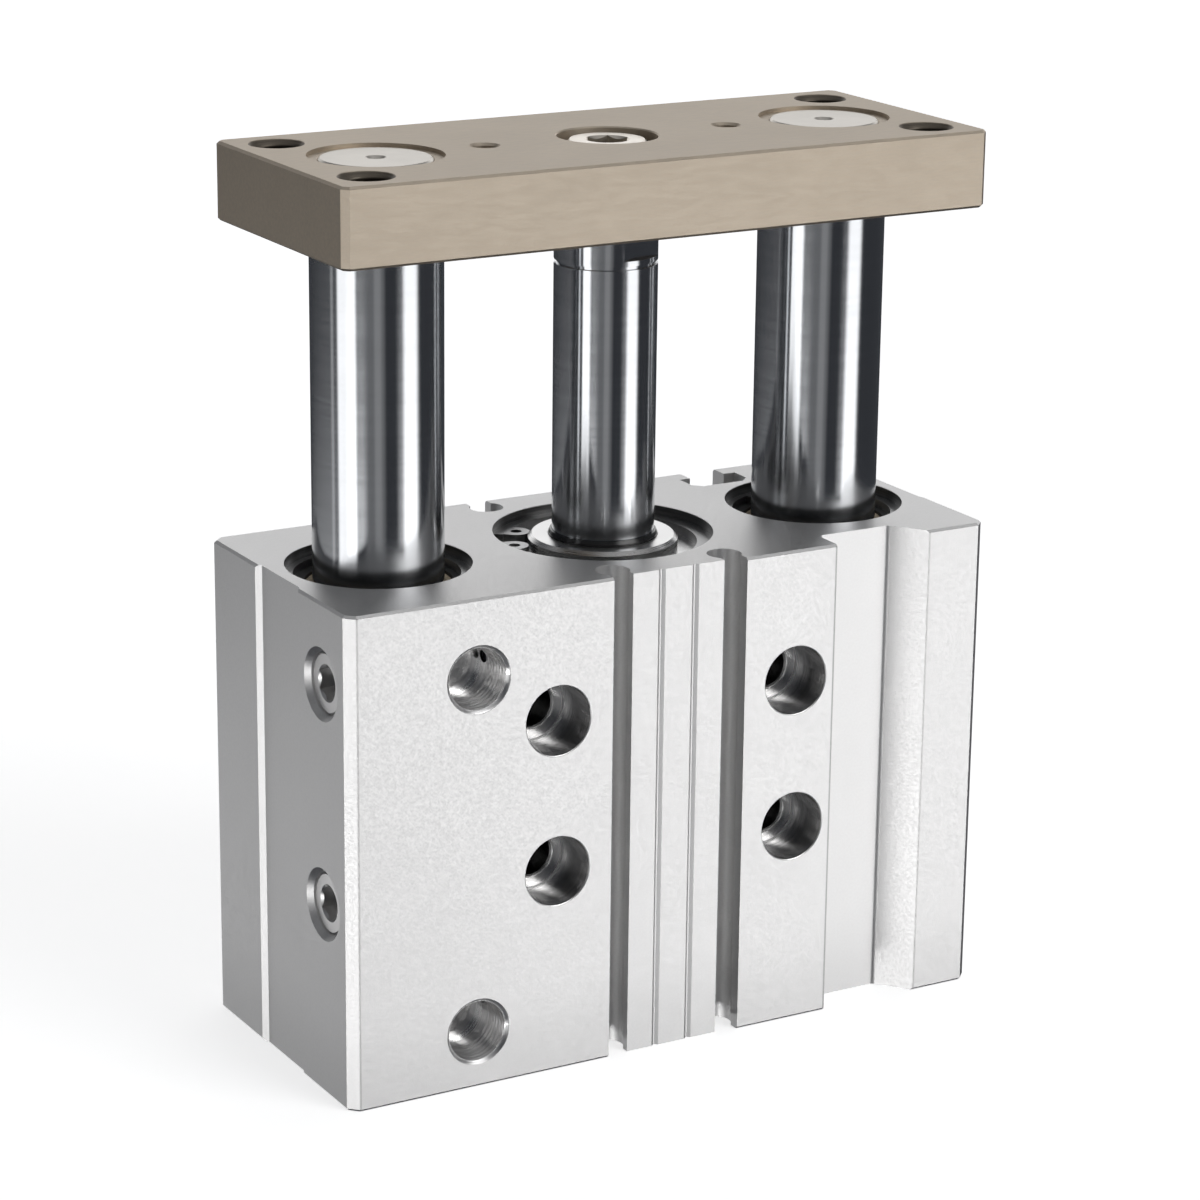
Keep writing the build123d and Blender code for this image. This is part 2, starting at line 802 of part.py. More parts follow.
def bumper(seat, direction):
    """A cushion ring in the piston's face; direction says which way it stands proud."""
    free_end = seat + direction * (bumper_sink + bumper_rise)
    outer = bore_diameter - 2 * bumper_outer_inset - 2 * seat_gap
    inner = outer - 2 * bumper_width + 4 * seat_gap
    cushion = ring(outer, inner, min(seat, free_end), max(seat, free_end))
    proud = cushion.edges().group_by(Axis.Z)[-1 if direction > 0 else 0]
    return chamfer(proud, end_chamfer)


def plate_bolt():
    """A cap screw with a hexagon socket."""
    head_top = bolt_seat + bolt_head_height
    head_radius = bolt_head_diameter / 2
    shank_end = bolt_seat - bolt_length
    screw = turned(
        (0, shank_end),
        (bolt_diameter / 2 - end_chamfer, shank_end),
        (bolt_diameter / 2, shank_end + end_chamfer),
        (bolt_diameter / 2, bolt_seat),
        (head_radius, bolt_seat),
        (head_radius, head_top - bolt_head_chamfer),
        (head_radius - bolt_head_chamfer, head_top),
        (0, head_top),
    )
    return screw - Pos(0, 0, head_top) * hex_socket(bolt_socket, bolt_socket_depth)


def plate():
    outline = Rectangle(plate_width, plate_depth)
    outline = chamfer(outline.vertices(), plate_corner_chamfer)
    slab = extrude(outline, plate_thickness)
    rims = slab.edges().group_by(Axis.Z)[0] + slab.edges().group_by(Axis.Z)[-1]
    slab = Pos(0, 0, plate_bottom) * chamfer(rims, plate_edge_chamfer)
    top = Pos(0, 0, plate_top)
    threaded_hole = drilled(thread_diameter, plate_thickness + cut_overrun, thread_mouth, pointed=False)
    for x, y in rectangle_of_places(plate_thread_spacing_x, plate_thread_spacing_y):
        slab = slab - top * Pos(x, y, 0) * threaded_hole
    pin_mouth = plate_pin_diameter + 2 * end_chamfer
    pin_hole = drilled(plate_pin_diameter, plate_pin_depth, pin_mouth)
    for side in (-1, 1):
        slab = slab - top * Pos(side * plate_pin_spacing / 2, 0, 0) * pin_hole
    recess_floor = plate_top - rod_end_recess_depth
    for x in guide_positions.values():
        hole = post(rod_end_diameter, plate_bottom - cut_overrun, plate_top)
        recess_diameter = guide_rod_diameter + 2 * rod_end_recess_gap
        hole = hole + post(recess_diameter, recess_floor, plate_top + cut_overrun)
        rim = drilled(rod_end_diameter, end_chamfer * 2, rod_end_diameter + end_chamfer, False)
        slab = slab - Pos(x, 0, 0) * (hole + Pos(0, 0, recess_floor) * rim)
    slab = slab - post(bolt_diameter + 2 * plate_bolt_hole_gap, plate_bottom - cut_overrun, plate_top)
    head_recess = bolt_head_diameter + 2 * plate_bolt_head_gap
    return slab - top * drilled(head_recess, plate_top - bolt_seat, head_recess + end_chamfer, pointed=False)


# The nodes


def nodes():
    named = {
        "body": body(),
        "rod_cover": rod_cover(),
        "rod_bush": rod_bush(),
        "rod_seal": rod_seal(),
        "rod_cover_gasket": gasket(rod_cover_gasket_z()),
        "rod_cover_circlip": end_circlip(cover_flange_top, cover_ring_gap_angle),
        "head_cover": head_cover(),
        "head_cover_gasket": gasket(head_gasket_z()),
        "head_cover_circlip": end_circlip(end_circlip_drop, cover_ring_gap_angle),
        "end_plate": plate(),
        "plate_bolt": plate_bolt(),
        "piston_rod": piston_rod(),
        "piston": piston(),
        "piston_seal": piston_seal(),
        "piston_wear_ring": wear_ring(),
        "piston_magnet": magnet(),
        "piston_bumper_upper": bumper(piston_top - bumper_sink, 1),
        "piston_bumper_lower": bumper(piston_bottom + bumper_sink, -1),
    }
    for level, z in side_port_levels.items():
        named["port_plug_" + level] = on_left(-side_port_y, z) * port_plug()
    for side, x in guide_positions.items():
        place = Pos(x, 0, 0)
        named["guide_rod_" + side] = place * guide_rod()
        named["guide_bush_upper_" + side] = place * guide_bush(guide_seat - guide_bush_length)
        named["guide_bush_lower_" + side] = place * guide_bush(guide_bush_inset)
        named["guide_felt_holder_" + side] = place * felt_holder()
        named["guide_felt_" + side] = place * guide_felt()
        named["guide_circlip_" + side] = place * guide_circlip()
    return named


for name, solid in nodes().items():
    export_step(solid, "parts/" + name + ".step")
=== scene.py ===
import json
from math import cos, pi, radians, sin

import bpy
from mathutils import Matrix, Vector


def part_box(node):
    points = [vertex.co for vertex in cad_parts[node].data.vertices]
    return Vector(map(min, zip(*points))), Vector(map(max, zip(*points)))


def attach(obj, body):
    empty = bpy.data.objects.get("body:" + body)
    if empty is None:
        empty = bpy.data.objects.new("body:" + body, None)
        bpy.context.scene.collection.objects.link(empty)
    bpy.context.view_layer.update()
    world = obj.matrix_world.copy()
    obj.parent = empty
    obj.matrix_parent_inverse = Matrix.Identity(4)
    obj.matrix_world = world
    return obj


# Sizes are in metres, in the frame of the CAD part: the origin is the centre of the body's
# underside, Z runs along the stroke and the air ports face -Y. Nothing here is random.

MM = 0.001
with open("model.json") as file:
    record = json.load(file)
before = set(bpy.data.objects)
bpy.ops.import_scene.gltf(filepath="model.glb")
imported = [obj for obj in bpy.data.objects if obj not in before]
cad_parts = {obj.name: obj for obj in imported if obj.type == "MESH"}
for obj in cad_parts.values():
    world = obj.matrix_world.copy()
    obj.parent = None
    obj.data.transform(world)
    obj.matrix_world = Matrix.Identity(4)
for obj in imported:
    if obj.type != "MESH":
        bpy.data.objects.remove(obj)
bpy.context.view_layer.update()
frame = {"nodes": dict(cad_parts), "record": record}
nodes = frame["nodes"]

# Places on the part that the materials and threads follow

body_low, body_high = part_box("body")
plate_low, plate_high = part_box("end_plate")
GUIDE_X = 39 * MM
FIXING_X = 21 * MM
FIXING_Z = 44.5 * MM
FIXING_STEP = 12 * MM
PORT_X = -34.5 * MM
PORT_LEVELS = (9 * MM, 65 * MM)
SIDE_PORT_Y = -15 * MM
SIDE_PORT_LEVELS = (30.5 * MM, 65 * MM)
PLATE_THREAD = (48 * MM, 15 * MM)
BASE_THREAD = (49 * MM, 17 * MM)

# Radii and depths that part the body's holes into walls, floors and rims

COUNTERBORE_RADIUS = 5.62 * MM
COUNTERBORE_FLOOR = (8.2 * MM, 8.3 * MM)
COUNTERBORE_HIGHLIGHT_RIMS = ((3.52 * MM, 0.15 * MM), (5.38 * MM, 0.10 * MM))
THROUGH_HOLE_RADIUS = 4.5 * MM
THROUGH_HOLE_START = 8.58 * MM
PORT_RADIUS = 5.32 * MM
SIDE_PORT_RADIUS = 5.62 * MM
SIDE_PORT_DEPTH = 8.0 * MM
GUIDE_BORE_RADIUS = 14.9 * MM
CENTRE_BORE_RADIUS = 18.0 * MM
FOOT_SHADE_HEIGHT = 17.0 * MM

# Painted shade lines along the body's front edges, where the faces step: place across the face, and what is
# left of the tone

EDGE_SHADE_LINES = ((-54.42 * MM, 0.72), (27.88 * MM, 0.55), (45.3 * MM, 0.75))
EDGE_SHADE_WIDTH = 0.16 * MM

# Colours of the metals

ALUMINIUM = (0.80, 0.795, 0.79)
PLATE_GREY = (0.64, 0.555, 0.45)
CHROME = (0.53, 0.54, 0.555)
ROD_END = (0.68, 0.645, 0.59)


# Camera


def add_camera(place, azimuth, elevation, roll, lens):
    """A camera that looks along azimuth degrees right of +Y and elevation degrees down."""
    az, el, turn = radians(azimuth), radians(elevation), radians(roll)
    forward = Vector((sin(az) * cos(el), cos(az) * cos(el), -sin(el)))
    level = Vector((cos(az), -sin(az), 0.0))
    upright = level.cross(forward)
    right = level * cos(turn) + upright * sin(turn)
    up = right.cross(forward)
    data = bpy.data.cameras.new("camera")
    data.sensor_width = 36.0
    data.lens = lens
    data.clip_start = 0.01
    data.clip_end = 50.0
    camera = bpy.data.objects.new("camera", data)
    basis = Matrix((right, up, -forward)).transposed().to_4x4()
    camera.matrix_world = Matrix.Translation(place) @ basis
    bpy.context.scene.collection.objects.link(camera)
    bpy.context.scene.camera = camera


add_camera(place=(-0.27985, -0.48539, 0.23460), azimuth=29.935, elevation=16.741, roll=0.655, lens=111.936)
bpy.context.scene.view_settings.view_transform = "Standard"


# Node helpers


class Tree:
    """Builds shader nodes in one tree with short calls."""

    def __init__(self, tree):
        self.tree = tree

    def node(self, kind, **settings):
        made = self.tree.nodes.new(kind)
        for name, value in settings.items():
            setattr(made, name, value)
        return made

    def join(self, value, socket):
        if isinstance(value, bpy.types.NodeSocket):
            self.tree.links.new(value, socket)
        else:
            socket.default_value = value

    def math(self, operation, a, b=0.0, c=0.0):
        made = self.node("ShaderNodeMath", operation=operation)
        for value, socket in zip((a, b, c), made.inputs):
            self.join(value, socket)
        return made.outputs[0]

    def times(self, first, *others):
        """The product of masks or numbers."""
        for other in others:
            first = self.math("MULTIPLY", first, other)
        return first

    def step(self, value, low, high, to_low=0.0, to_high=1.0):
        """A smooth ramp from to_low at low to to_high at high."""
        made = self.node("ShaderNodeMapRange")
        made.interpolation_type = "SMOOTHSTEP"
        for item, socket in zip((value, low, high, to_low, to_high), made.inputs):
            self.join(item, socket)
        return made.outputs[0]

    def blend(self, factor, a, b):
        """A number that goes from a to b with a factor from 0 to 1."""
        made = self.node("ShaderNodeMix")
        for item, socket in zip((factor, a, b), (made.inputs[0], made.inputs[2], made.inputs[3])):
            self.join(item, socket)
        return made.outputs[0]

    def split(self, vector):
        made = self.node("ShaderNodeSeparateXYZ")
        self.join(vector, made.inputs[0])
        return made.outputs

    def noise(self, coords, scale, detail=2.0, roughness=0.5, stretch=(1.0, 1.0, 1.0)):
        if stretch != (1.0, 1.0, 1.0):
            mapping = self.node("ShaderNodeMapping")
            self.join(coords, mapping.inputs["Vector"])
            mapping.inputs["Scale"].default_value = stretch
            coords = mapping.outputs[0]
        made = self.node("ShaderNodeTexNoise")
        self.join(coords, made.inputs["Vector"])
        made.inputs["Scale"].default_value = scale
        made.inputs["Detail"].default_value = detail
        made.inputs["Roughness"].default_value = roughness
        return made.outputs[0]

    def mix(self, factor, a, b, kind="MIX"):
        """Two colours mixed by a factor."""
        made = self.node("ShaderNodeMix", data_type="RGBA", blend_type=kind)
        for item, name in ((factor, "Factor"), (a, "A"), (b, "B")):
            self.join(item, made.inputs[name])
        return made.outputs["Result"]

    def tint(self, colour, factor):
        """A colour multiplied by a grey factor."""
        return self.mix(1.0, colour, factor, "MULTIPLY")

    def bump(self, height, distance):
        made = self.node("ShaderNodeBump")
        made.inputs["Distance"].default_value = distance
        self.join(height, made.inputs["Height"])
        return made.outputs[0]

    def far(self, a, a0, b, b0):
        """Distance from the line a = a0, b = b0."""
        a = self.math("SUBTRACT", a, a0)
        b = self.math("SUBTRACT", b, b0)
        return self.math("SQRT", self.math("ADD", self.times(a, a), self.times(b, b)))

    def inside(self, distance, radius, edge=0.05 * MM):
        """1 nearer than radius, 0 beyond it."""
        return self.step(distance, radius - edge, radius + edge, 1.0, 0.0)

    def near(self, value, place, width, edge=0.05 * MM):
        """1 where a value is within width of a place."""
        gap = self.math("ABSOLUTE", self.math("SUBTRACT", value, place))
        return self.inside(gap, width, edge)


# Light: the studio is drawn on the world by direction. Each window is a soft box, given by the
# azimuth of its middle, its half width, its soft edge, its low and high z, its edge in z and its level.


WINDOWS = (
    # Left strip in the rods
    (189.5, 17.0, 3.0, -0.50, 0.02, 0.10, 1.8),
    # Low box for the relief's slope and the left recess
    (206.0, 15.0, 7.0, -0.46, -0.35, 0.04, 7.0),
    # Right strip in the rods
    (303.0, 12.5, 5.0, -0.42, 0.18, 0.12, 1.65),
    # Low box for the front faces
    (301.0, 17.0, 9.0, -0.41, -0.32, 0.04, 4.3),
    # High box for the glints in the counterbores and ports
    (298.0, 18.0, 8.0, 0.34, 0.70, 0.06, 3.5),
    # Grey bands between the strips, and a thin strip left of them
    (240.0, 16.0, 4.0, -0.90, 0.10, 0.10, 0.17),
    (244.5, 5.0, 3.0, -0.90, 0.10, 0.10, 0.13),
    (160.5, 2.5, 1.5, -0.50, 0.10, 0.10, 0.30),
    # Box behind the object for the top faces
    (58.0, 38.0, 12.0, 0.03, 0.42, 0.09, 1.5),
    # Low box for the left faces
    (120.0, 50.0, 15.0, -0.40, -0.31, 0.04, 1.55),
)
OVERHEAD = (0.45, 0.95, 0.35)
AMBIENT = (0.050, 0.053, 0.060)


def add_window(tree, x, y, z, flat, window):
    """The light of one soft box in the direction x, y, z."""
    middle, half, edge, low, high, z_edge, level = window
    toward = tree.math("MULTIPLY", x, cos(radians(middle)))
    toward = tree.math("MULTIPLY_ADD", y, sin(radians(middle)), toward)
    toward = tree.math("DIVIDE", toward, flat)
    side = tree.step(toward, cos(radians(half + edge)), cos(radians(half - edge)))
    above = tree.step(z, low - z_edge, low + z_edge)
    below = tree.step(z, high - z_edge, high + z_edge, 1.0, 0.0)
    return tree.times(side, above, below, level)


def add_world():
    """The soft boxes light the object, and the camera sees white paper."""
    world = bpy.data.worlds.new("studio")
    bpy.context.scene.world = world
    world.use_nodes = True
    tree = Tree(world.node_tree)
    world.node_tree.nodes.clear()
    x, y, z = tree.split(tree.node("ShaderNodeTexCoord").outputs["Generated"])
    flat = tree.math("SQRT", tree.math("ADD", tree.times(x, x), tree.times(y, y)))
    flat = tree.math("MAXIMUM", flat, 0.0001)
    total = tree.step(z, OVERHEAD[0], OVERHEAD[1], 0.0, OVERHEAD[2])
    for window in WINDOWS:
        total = tree.math("ADD", total, add_window(tree, x, y, z, flat, window))
    light = tree.node("ShaderNodeCombineColor")
    for base, socket in zip(AMBIENT, light.inputs):
        tree.join(tree.math("ADD", total, base), socket)
    lamps = tree.node("ShaderNodeBackground")
    tree.join(light.outputs[0], lamps.inputs["Color"])
    paper = tree.node("ShaderNodeBackground")
    paper.inputs["Color"].default_value = (1.0, 1.0, 1.0, 1.0)
    seen = tree.node("ShaderNodeLightPath").outputs["Is Camera Ray"]
    choose = tree.node("ShaderNodeMixShader")
    tree.join(seen, choose.inputs[0])
    tree.join(lamps.outputs[0], choose.inputs[1])
    tree.join(paper.outputs[0], choose.inputs[2])
    out = tree.node("ShaderNodeOutputWorld")
    tree.join(choose.outputs[0], out.inputs[0])


def add_floor():
    """A plain pale floor that fades into the white backdrop."""
    bpy.ops.mesh.primitive_circle_add(vertices=96, radius=6.0, fill_type="NGON")
    floor = bpy.context.object
    floor.name = "floor"
    paper = bpy.data.materials.new("floor_paper")
    paper.use_nodes = True
    tree = Tree(paper.node_tree)
    shader = paper.node_tree.nodes["Principled BSDF"]
    coords = tree.node("ShaderNodeTexCoord").outputs["Object"]
    soft = tree.step(tree.noise(coords, 90.0, 3.0), 0.0, 1.0, 0.985, 1.0)
    tree.join(tree.tint((0.93, 0.93, 0.93, 1.0), soft), shader.inputs["Base Color"])
    shader.inputs["Roughness"].default_value = 0.9
    shader.inputs["Specular IOR Level"].default_value = 0.1
    shader.inputs["Emission Color"].default_value = (1.0, 1.0, 1.0, 1.0)
    shader.inputs["Emission Strength"].default_value = 0.66
    floor.data.materials.append(paper)
    floor.visible_glossy = False


add_world()
add_floor()


# Materials


class Finish:
    """A new material with its shader, its tree and the place on the part of each point."""

    def __init__(self, name, colour, metallic, roughness):
        self.material = bpy.data.materials.new(name)
        self.material.use_nodes = True
        self.tree = Tree(self.material.node_tree)
        self.shader = self.material.node_tree.nodes["Principled BSDF"]
        self.shader.inputs["Base Color"].default_value = (*colour, 1.0)
        self.shader.inputs["Metallic"].default_value = metallic
        self.shader.inputs["Roughness"].default_value = roughness
        self.coords = self.tree.node("ShaderNodeTexCoord").outputs["Object"]

    def smear(self, along, amount):
        """Reflections drawn out along a direction, across the grooves that a tool leaves."""
        made = self.tree.node("ShaderNodeCombineXYZ")
        for value, socket in zip(along, made.inputs):
            self.tree.join(value, socket)
        self.tree.join(made.outputs[0], self.shader.inputs["Tangent"])
        self.tree.join(amount, self.shader.inputs["Anisotropic"])

    def paint(self, colour, roughness, normal=None):
        self.tree.join(colour, self.shader.inputs["Base Color"])
        self.tree.join(roughness, self.shader.inputs["Roughness"])
        if normal is not None:
            self.tree.join(normal, self.shader.inputs["Normal"])


def metal(name, colour, roughness, grain=1400.0, stretch=(1.0, 1.0, 1.0), mottle=0.05, spread=0.08,
          depth=0.004, metallic=1.0):
    """A surface with grain in its colour, its gloss and its height."""
    finish = Finish(name, colour, metallic, roughness)
    tree = finish.tree
    fine = tree.noise(finish.coords, grain, 3.0, 0.6, stretch)
    broad = tree.noise(finish.coords, 60.0, 3.0)
    shade = tree.math("ADD", tree.step(fine, 0.25, 0.75, 1.0 - mottle, 1.0 + mottle),
                      tree.step(broad, 0.2, 0.8, -mottle / 2, mottle / 2))
    finish.paint(tree.tint((*colour, 1.0), shade),
                 tree.step(fine, 0.25, 0.75, roughness - spread / 2, roughness + spread / 2),
                 tree.bump(fine, depth * MM))
    return finish.material


def body_masks(tree, x, y, z):
    """Masks of the body's holes, port walls, side port mouths, bores and the holes' floors and rims."""
    front, left, top = body_low[1], body_low[0], body_high[2]
    wide = tree.math("ABSOLUTE", x)
    tall = tree.math("ABSOLUTE", tree.math("SUBTRACT", z, FIXING_Z))
    from_fixing = tree.far(wide, FIXING_X, tall, FIXING_STEP)
    fixing = tree.inside(from_fixing, COUNTERBORE_RADIUS)
    ports_middle = (PORT_LEVELS[0] + PORT_LEVELS[1]) / 2
    ports_step = (PORT_LEVELS[1] - PORT_LEVELS[0]) / 2
    tall = tree.math("ABSOLUTE", tree.math("SUBTRACT", z, ports_middle))
    port = tree.inside(tree.far(x, PORT_X, tall, ports_step), PORT_RADIUS)
    within = tree.step(y, front + 0.02 * MM, front + 0.2 * MM)
    hole = tree.times(tree.math("MAXIMUM", fixing, port), within)

    mouths = [tree.inside(tree.far(y, SIDE_PORT_Y, z, level), SIDE_PORT_RADIUS) for level in SIDE_PORT_LEVELS]
    mouth = tree.times(tree.math("MAXIMUM", *mouths),
                       tree.step(x, left + 0.02 * MM, left + 0.1 * MM),
                       tree.math("LESS_THAN", x, left + SIDE_PORT_DEPTH))

    guide = tree.inside(tree.far(wide, GUIDE_X, y, 0.0), GUIDE_BORE_RADIUS)
    centre = tree.inside(tree.far(x, 0.0, y, 0.0), CENTRE_BORE_RADIUS)
    bore = tree.times(tree.math("MAXIMUM", guide, centre),
                      tree.step(z, top - 0.2 * MM, top - 0.02 * MM, 1.0, 0.0),
                      tree.math("SUBTRACT", 1.0, tree.math("MAXIMUM", hole, mouth)))

    floor = tree.step(y, front + COUNTERBORE_FLOOR[0], front + COUNTERBORE_FLOOR[1])
    rims = [tree.times(tree.near(from_fixing, radius, width), floor) for radius, width in COUNTERBORE_HIGHLIGHT_RIMS]
    deep = tree.times(tree.inside(from_fixing, THROUGH_HOLE_RADIUS),
                      tree.math("GREATER_THAN", y, front + THROUGH_HOLE_START))
    return dict(hole=hole, port=port, mouth=mouth, bore=bore, floor=floor, rims=rims, deep=deep)


def body_shade(tree, coords, x, y, z, where):
    """How bright each point of the body is: turned holes with port walls painted lighter, painted shade in
    the bores, toward the foot, along the front edges' steps and in the through holes, and painted highlight
    rims in the counterbores.
    """
    speckle = tree.noise(coords, 2600.0, 3.0, 0.6)
    broad = tree.noise(coords, 60.0, 3.0)
    along_y = tree.noise(coords, 900.0, 3.0, 0.6, (0.06, 3.0, 0.06))
    along_z = tree.noise(coords, 900.0, 3.0, 0.6, (0.06, 0.06, 3.0))
    shade = tree.math("ADD", tree.step(speckle, 0.25, 0.75, 0.97, 1.03),
                      tree.step(broad, 0.2, 0.8, -0.01, 0.01))
    # Turning rings in the holes; the port walls are painted lighter than the counterbores, painted light that
    # brightens their glints
    turned = tree.times(tree.step(along_y, 0.3, 0.7, 0.85, 1.12), tree.blend(where["port"], 0.9, 1.12))
    shade = tree.blend(where["hole"], shade, turned)
    # Painted shade: the walls of the guide and centre bores are darkened, where little light reaches
    shade = tree.blend(where["bore"], shade, tree.step(along_z, 0.3, 0.7, 0.22, 0.34))
    # Painted shade: the body is darkened toward its foot, where the floor shades it
    shade = tree.times(shade, tree.step(z, 0.0, FOOT_SHADE_HEIGHT, 0.88, 1.0))
    outside = tree.math("LESS_THAN", y, body_low[1] + 0.1 * MM)
    # Painted shade: thin dark lines along the steps of the front face stand in for the shadow at each edge
    for place, left_over in EDGE_SHADE_LINES:
        line = tree.times(tree.near(x, place, EDGE_SHADE_WIDTH, 0.06 * MM), outside)
        shade = tree.times(shade, tree.blend(line, 1.0, left_over))
    # Painted highlight: rings at the counterbores' chamfer and floor edge are made lighter
    for rim in where["rims"]:
        shade = tree.blend(rim, shade, 1.25)
    # Painted shade: the through holes beyond the counterbore floors are darkened
    return tree.blend(where["deep"], shade, 0.3)


def body_gloss(tree, coords, where):
    """How rough each point of the body is: satin faces, smoother turned walls."""
    speckle = tree.noise(coords, 2600.0, 3.0, 0.6)
    gloss = tree.step(speckle, 0.25, 0.75, 0.42, 0.50)
    walls = tree.blend(where["port"], 0.24, 0.3)
    gloss = tree.blend(where["hole"], gloss, tree.blend(where["floor"], walls, 0.15))
    for rim in where["rims"]:
        gloss = tree.blend(rim, gloss, 0.6)
    gloss = tree.blend(where["deep"], gloss, 0.3)
    gloss = tree.blend(where["mouth"], gloss, 0.48)
    return tree.blend(where["bore"], gloss, 0.3)


def body_metal():
    """Satin anodised faces, with turned walls in the holes that smear reflections along their axis."""
    finish = Finish("anodised_aluminium_look", ALUMINIUM, 1.0, 0.42)
    tree = finish.tree
    x, y, z = tree.split(finish.coords)
    where = body_masks(tree, x, y, z)
    speckle = tree.noise(finish.coords, 2600.0, 3.0, 0.6)
    along_y = tree.noise(finish.coords, 900.0, 3.0, 0.6, (0.06, 3.0, 0.06))
    height = tree.blend(where["hole"], tree.times(speckle, 0.07), along_y)
    finish.paint(tree.tint((*ALUMINIUM, 1.0), body_shade(tree, finish.coords, x, y, z, where)),
                 body_gloss(tree, finish.coords, where), tree.bump(height, 0.08 * MM))
    finish.smear((0.05, 1.0, 0.05), tree.times(where["hole"], tree.blend(where["floor"], 0.8, 0.0)))
    return finish.material


def plate_metal():
    """A warm grey plate with grain along its length, and painted shade inside its tapped holes."""
    finish = Finish("plate_finish_look", PLATE_GREY, 1.0, 0.46)
    tree = finish.tree
    x, y, z = tree.split(finish.coords)
    fine = tree.noise(finish.coords, 1800.0, 3.0, 0.6, (0.2, 1.0, 1.0))
    broad = tree.noise(finish.coords, 60.0, 3.0)
    across, along = (tree.math("ABSOLUTE", v) for v in (x, y))
    thread = tree.inside(tree.far(across, PLATE_THREAD[0], along, PLATE_THREAD[1]), 4.4 * MM)
    below = tree.step(z, plate_high[2] - 0.15 * MM, plate_high[2] - 0.01 * MM, 1.0, 0.0)
    shade = tree.math("ADD", tree.step(fine, 0.25, 0.75, 0.94, 1.06), tree.step(broad, 0.2, 0.8, -0.03, 0.03))
    # Painted shade: the insides of the tapped holes are darkened
    shade = tree.blend(tree.times(thread, below), shade, 0.3)
    gloss = tree.step(fine, 0.25, 0.75, 0.50, 0.58)
    finish.paint(tree.tint((*PLATE_GREY, 1.0), shade), gloss, tree.bump(fine, 0.006 * MM))
    return finish.material


def chrome():
    """Ground hard chrome: fine rings round the rod smear reflections along it; end faces are plain steel with
    painted shade in their centre holes.
    """
    finish = Finish("hard_chrome_look", CHROME, 1.0, 0.22)
    tree = finish.tree
    x, y, z = tree.split(finish.coords)
    rings = tree.noise(finish.coords, 900.0, 3.0, 0.6, (0.05, 0.05, 2.0))
    cloud = tree.noise(finish.coords, 140.0, 3.0, 0.6)
    end = tree.step(z, plate_high[2] - 2.0 * MM, plate_high[2] - 1.0 * MM)
    shade = tree.math("ADD", tree.step(rings, 0.3, 0.7, 0.985, 1.015),
                      tree.step(cloud, 0.3, 0.7, -0.02, 0.02))
    skin = tree.tint((*CHROME, 1.0), shade)
    # Painted shade: the centre drill holes in the rod ends are darkened
    centre_hole_shade = tree.inside(tree.far(tree.math("ABSOLUTE", x), GUIDE_X, y, 0.0), 0.9 * MM)
    ground = tree.tint((*ROD_END, 1.0), tree.blend(centre_hole_shade, tree.step(cloud, 0.2, 0.8, 0.95, 1.05), 0.15))
    gloss = tree.blend(end, tree.step(rings, 0.3, 0.7, 0.14, 0.16), 0.42)
    finish.paint(tree.mix(end, skin, ground), gloss)
    finish.smear((0.02, 0.01, 1.0), tree.times(tree.math("SUBTRACT", 1.0, end), 0.88))
    return finish.material


LOOKS = {
    "anodised_aluminium": body_metal(),
    "turned_aluminium": metal("turned_aluminium_look", (0.66, 0.655, 0.65), 0.28, 900.0, (0.1, 0.1, 6.0),
                              mottle=0.03),
    "plate_finish": plate_metal(),
    "hard_chrome": chrome(),
    "screw_steel": metal("screw_steel_look", (0.66, 0.61, 0.54), 0.32, 1500.0, mottle=0.05),
    "plug_steel": metal("plug_steel_look", (0.68, 0.675, 0.67), 0.36, 1500.0, mottle=0.02, spread=0.03,
                        depth=0.0005),
    "ring_steel": metal("ring_steel_look", (0.40, 0.40, 0.40), 0.34, 1500.0, mottle=0.06),
    "bronze": metal("bronze_look", (0.62, 0.43, 0.25), 0.35, 1200.0, mottle=0.06),
    "black_rubber": metal("black_rubber_look", (0.018, 0.018, 0.018), 0.2, 1500.0, mottle=0.1, metallic=0.0),
    "urethane": metal("urethane_look", (0.50, 0.34, 0.12), 0.45, 1500.0, mottle=0.06, metallic=0.0),
    "dark_resin": metal("dark_resin_look", (0.035, 0.035, 0.035), 0.5, 1500.0, mottle=0.1, metallic=0.0),
    "magnet": metal("magnet_look", (0.06, 0.06, 0.06), 0.5, 1500.0, mottle=0.1, metallic=0.0),
    "felt": metal("felt_look", (0.55, 0.46, 0.34), 0.9, 1200.0, mottle=0.25, depth=0.05, metallic=0.0),
}

for part in frame["record"]["subparts"]:
    look = LOOKS[part["material_slot"]]
    slots = nodes[part["node"]].data.materials
    if len(slots) == 0:
        slots.append(look)
    for number in range(len(slots)):
        slots[number] = look


# Threads: each is a closed sleeve that lines a plain CAD hole


THREAD_SIDES = 48
ROWS_PER_PITCH = 6
THREAD_SKIN = 0.02 * MM
THREAD_GAP = 0.004 * MM
LEAD_SLOPE = 0.9


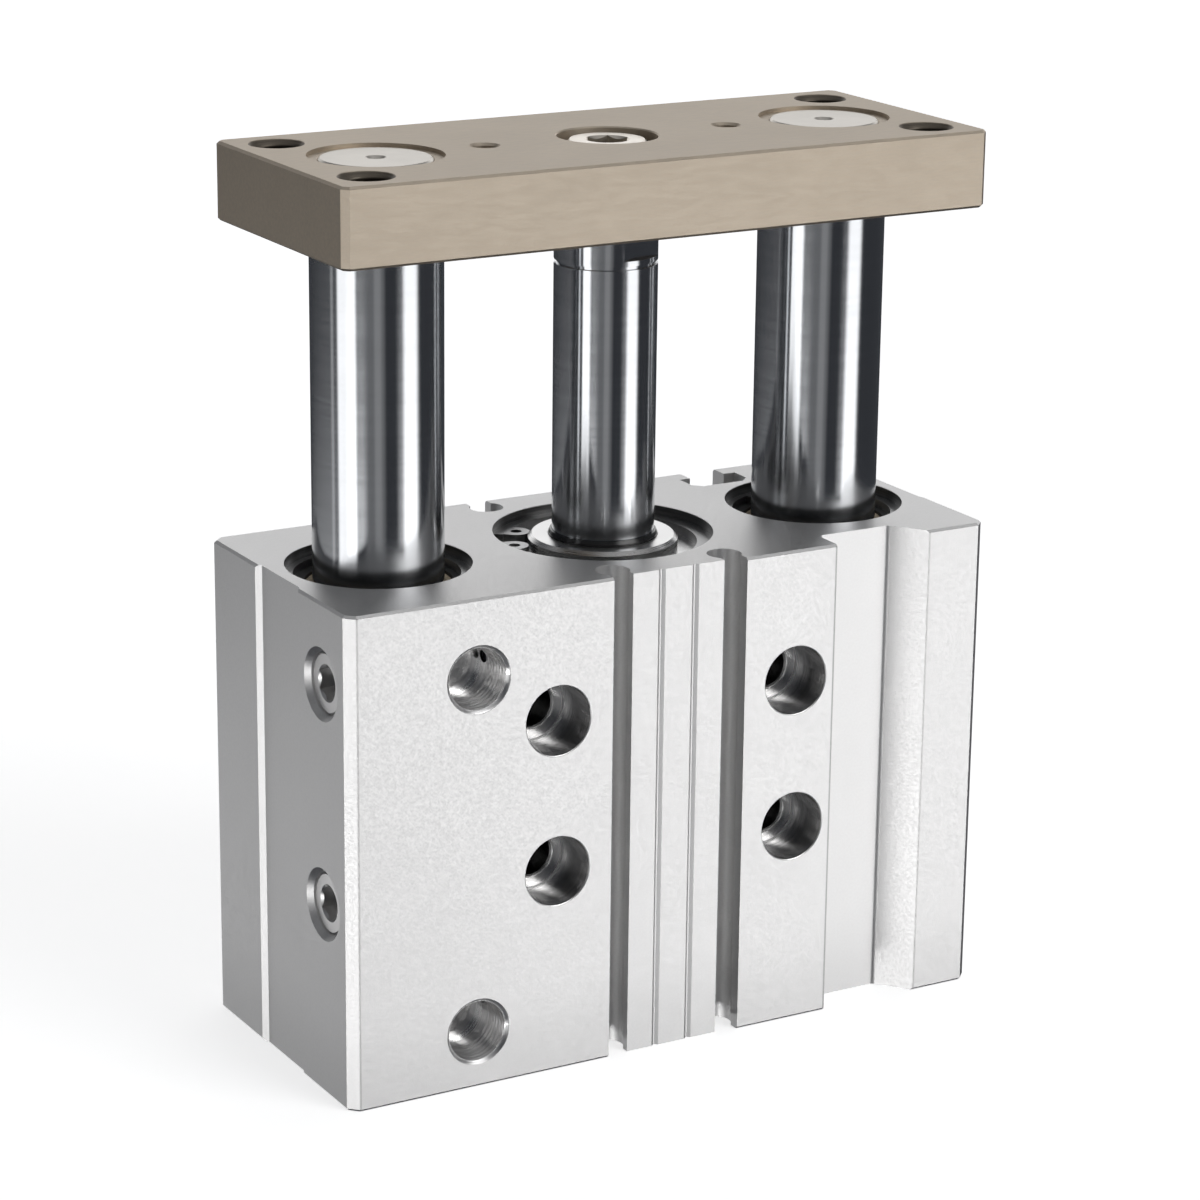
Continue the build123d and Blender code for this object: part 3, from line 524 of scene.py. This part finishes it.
def thread_sleeve(name, body, look, place, axis, radius, minor, pitch, start, end):
    """A helical thread from depth start to depth end below place; axis points out of the hole."""
    around = THREAD_SIDES
    rows = int(round((end - start) / pitch * ROWS_PER_PITCH))
    out = Vector(axis)
    side = Vector((0, 0, 1)).cross(out) if abs(out.z) < 0.9 else Vector((1, 0, 0))
    other = out.cross(side)
    outer = radius - THREAD_GAP
    widest = outer - THREAD_SKIN
    points, faces = [], []
    for row in range(rows + 1):
        depth = start + (end - start) * row / rows
        for step in range(around):
            turn = 2 * pi * step / around
            phase = (depth / pitch - step / around) % 1.0
            ridge = min(1.0, max(0.0, 1.35 - abs(phase - 0.5) * 3.0))
            inner = widest - (widest - minor) * ridge
            inner = max(inner, widest - (depth - start) * LEAD_SLOPE)
            points.append(place - out * depth + (side * cos(turn) + other * sin(turn)) * inner)
    for depth in (end, start):
        for step in range(around):
            turn = 2 * pi * step / around
            points.append(place - out * depth + (side * cos(turn) + other * sin(turn)) * outer)
    rings = list(range(rows + 3)) + [0]
    for a, b in zip(rings, rings[1:]):
        for step in range(around):
            after = (step + 1) % around
            faces.append((a * around + step, a * around + after, b * around + after, b * around + step))
    mesh = bpy.data.meshes.new(name)
    mesh.from_pydata([tuple(p) for p in points], [], faces)
    mesh.update()
    piece = bpy.data.objects.new(name, mesh)
    bpy.context.scene.collection.objects.link(piece)
    for polygon in mesh.polygons:
        polygon.use_smooth = polygon.index < rows * around
    mesh.materials.append(LOOKS[look])
    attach(piece, body)


M8 = dict(radius=4.0 * MM, minor=3.35 * MM, pitch=1.25 * MM)
for count, (sx, sy) in enumerate(((-1, -1), (1, -1), (-1, 1), (1, 1)), 1):
    spot = Vector((sx * PLATE_THREAD[0], sy * PLATE_THREAD[1], plate_high[2]))
    thread_sleeve(f"plate_thread_{count}", "carriage", "plate_finish", spot, (0, 0, 1),
                  start=0.31 * MM, end=11.99 * MM, **M8)
    spot = Vector((sx * BASE_THREAD[0], sy * BASE_THREAD[1], 0.0))
    thread_sleeve(f"base_thread_{count}", "housing", "anodised_aluminium", spot, (0, 0, -1),
                  start=0.31 * MM, end=17.0 * MM, **M8)
    spot = Vector((sx * FIXING_X, body_high[1], FIXING_Z + sy * FIXING_STEP))
    thread_sleeve(f"rear_thread_{count}", "housing", "anodised_aluminium", spot, (0, 1, 0),
                  start=0.31 * MM, end=14.0 * MM, **M8)
for name, height in zip(("lower", "upper"), PORT_LEVELS):
    spot = Vector((PORT_X, body_low[1], height))
    thread_sleeve(f"port_thread_{name}", "housing", "anodised_aluminium", spot, (0, -1, 0), radius=4.85 * MM,
                  minor=4.65 * MM, pitch=0.907 * MM, start=0.51 * MM, end=6.4 * MM)
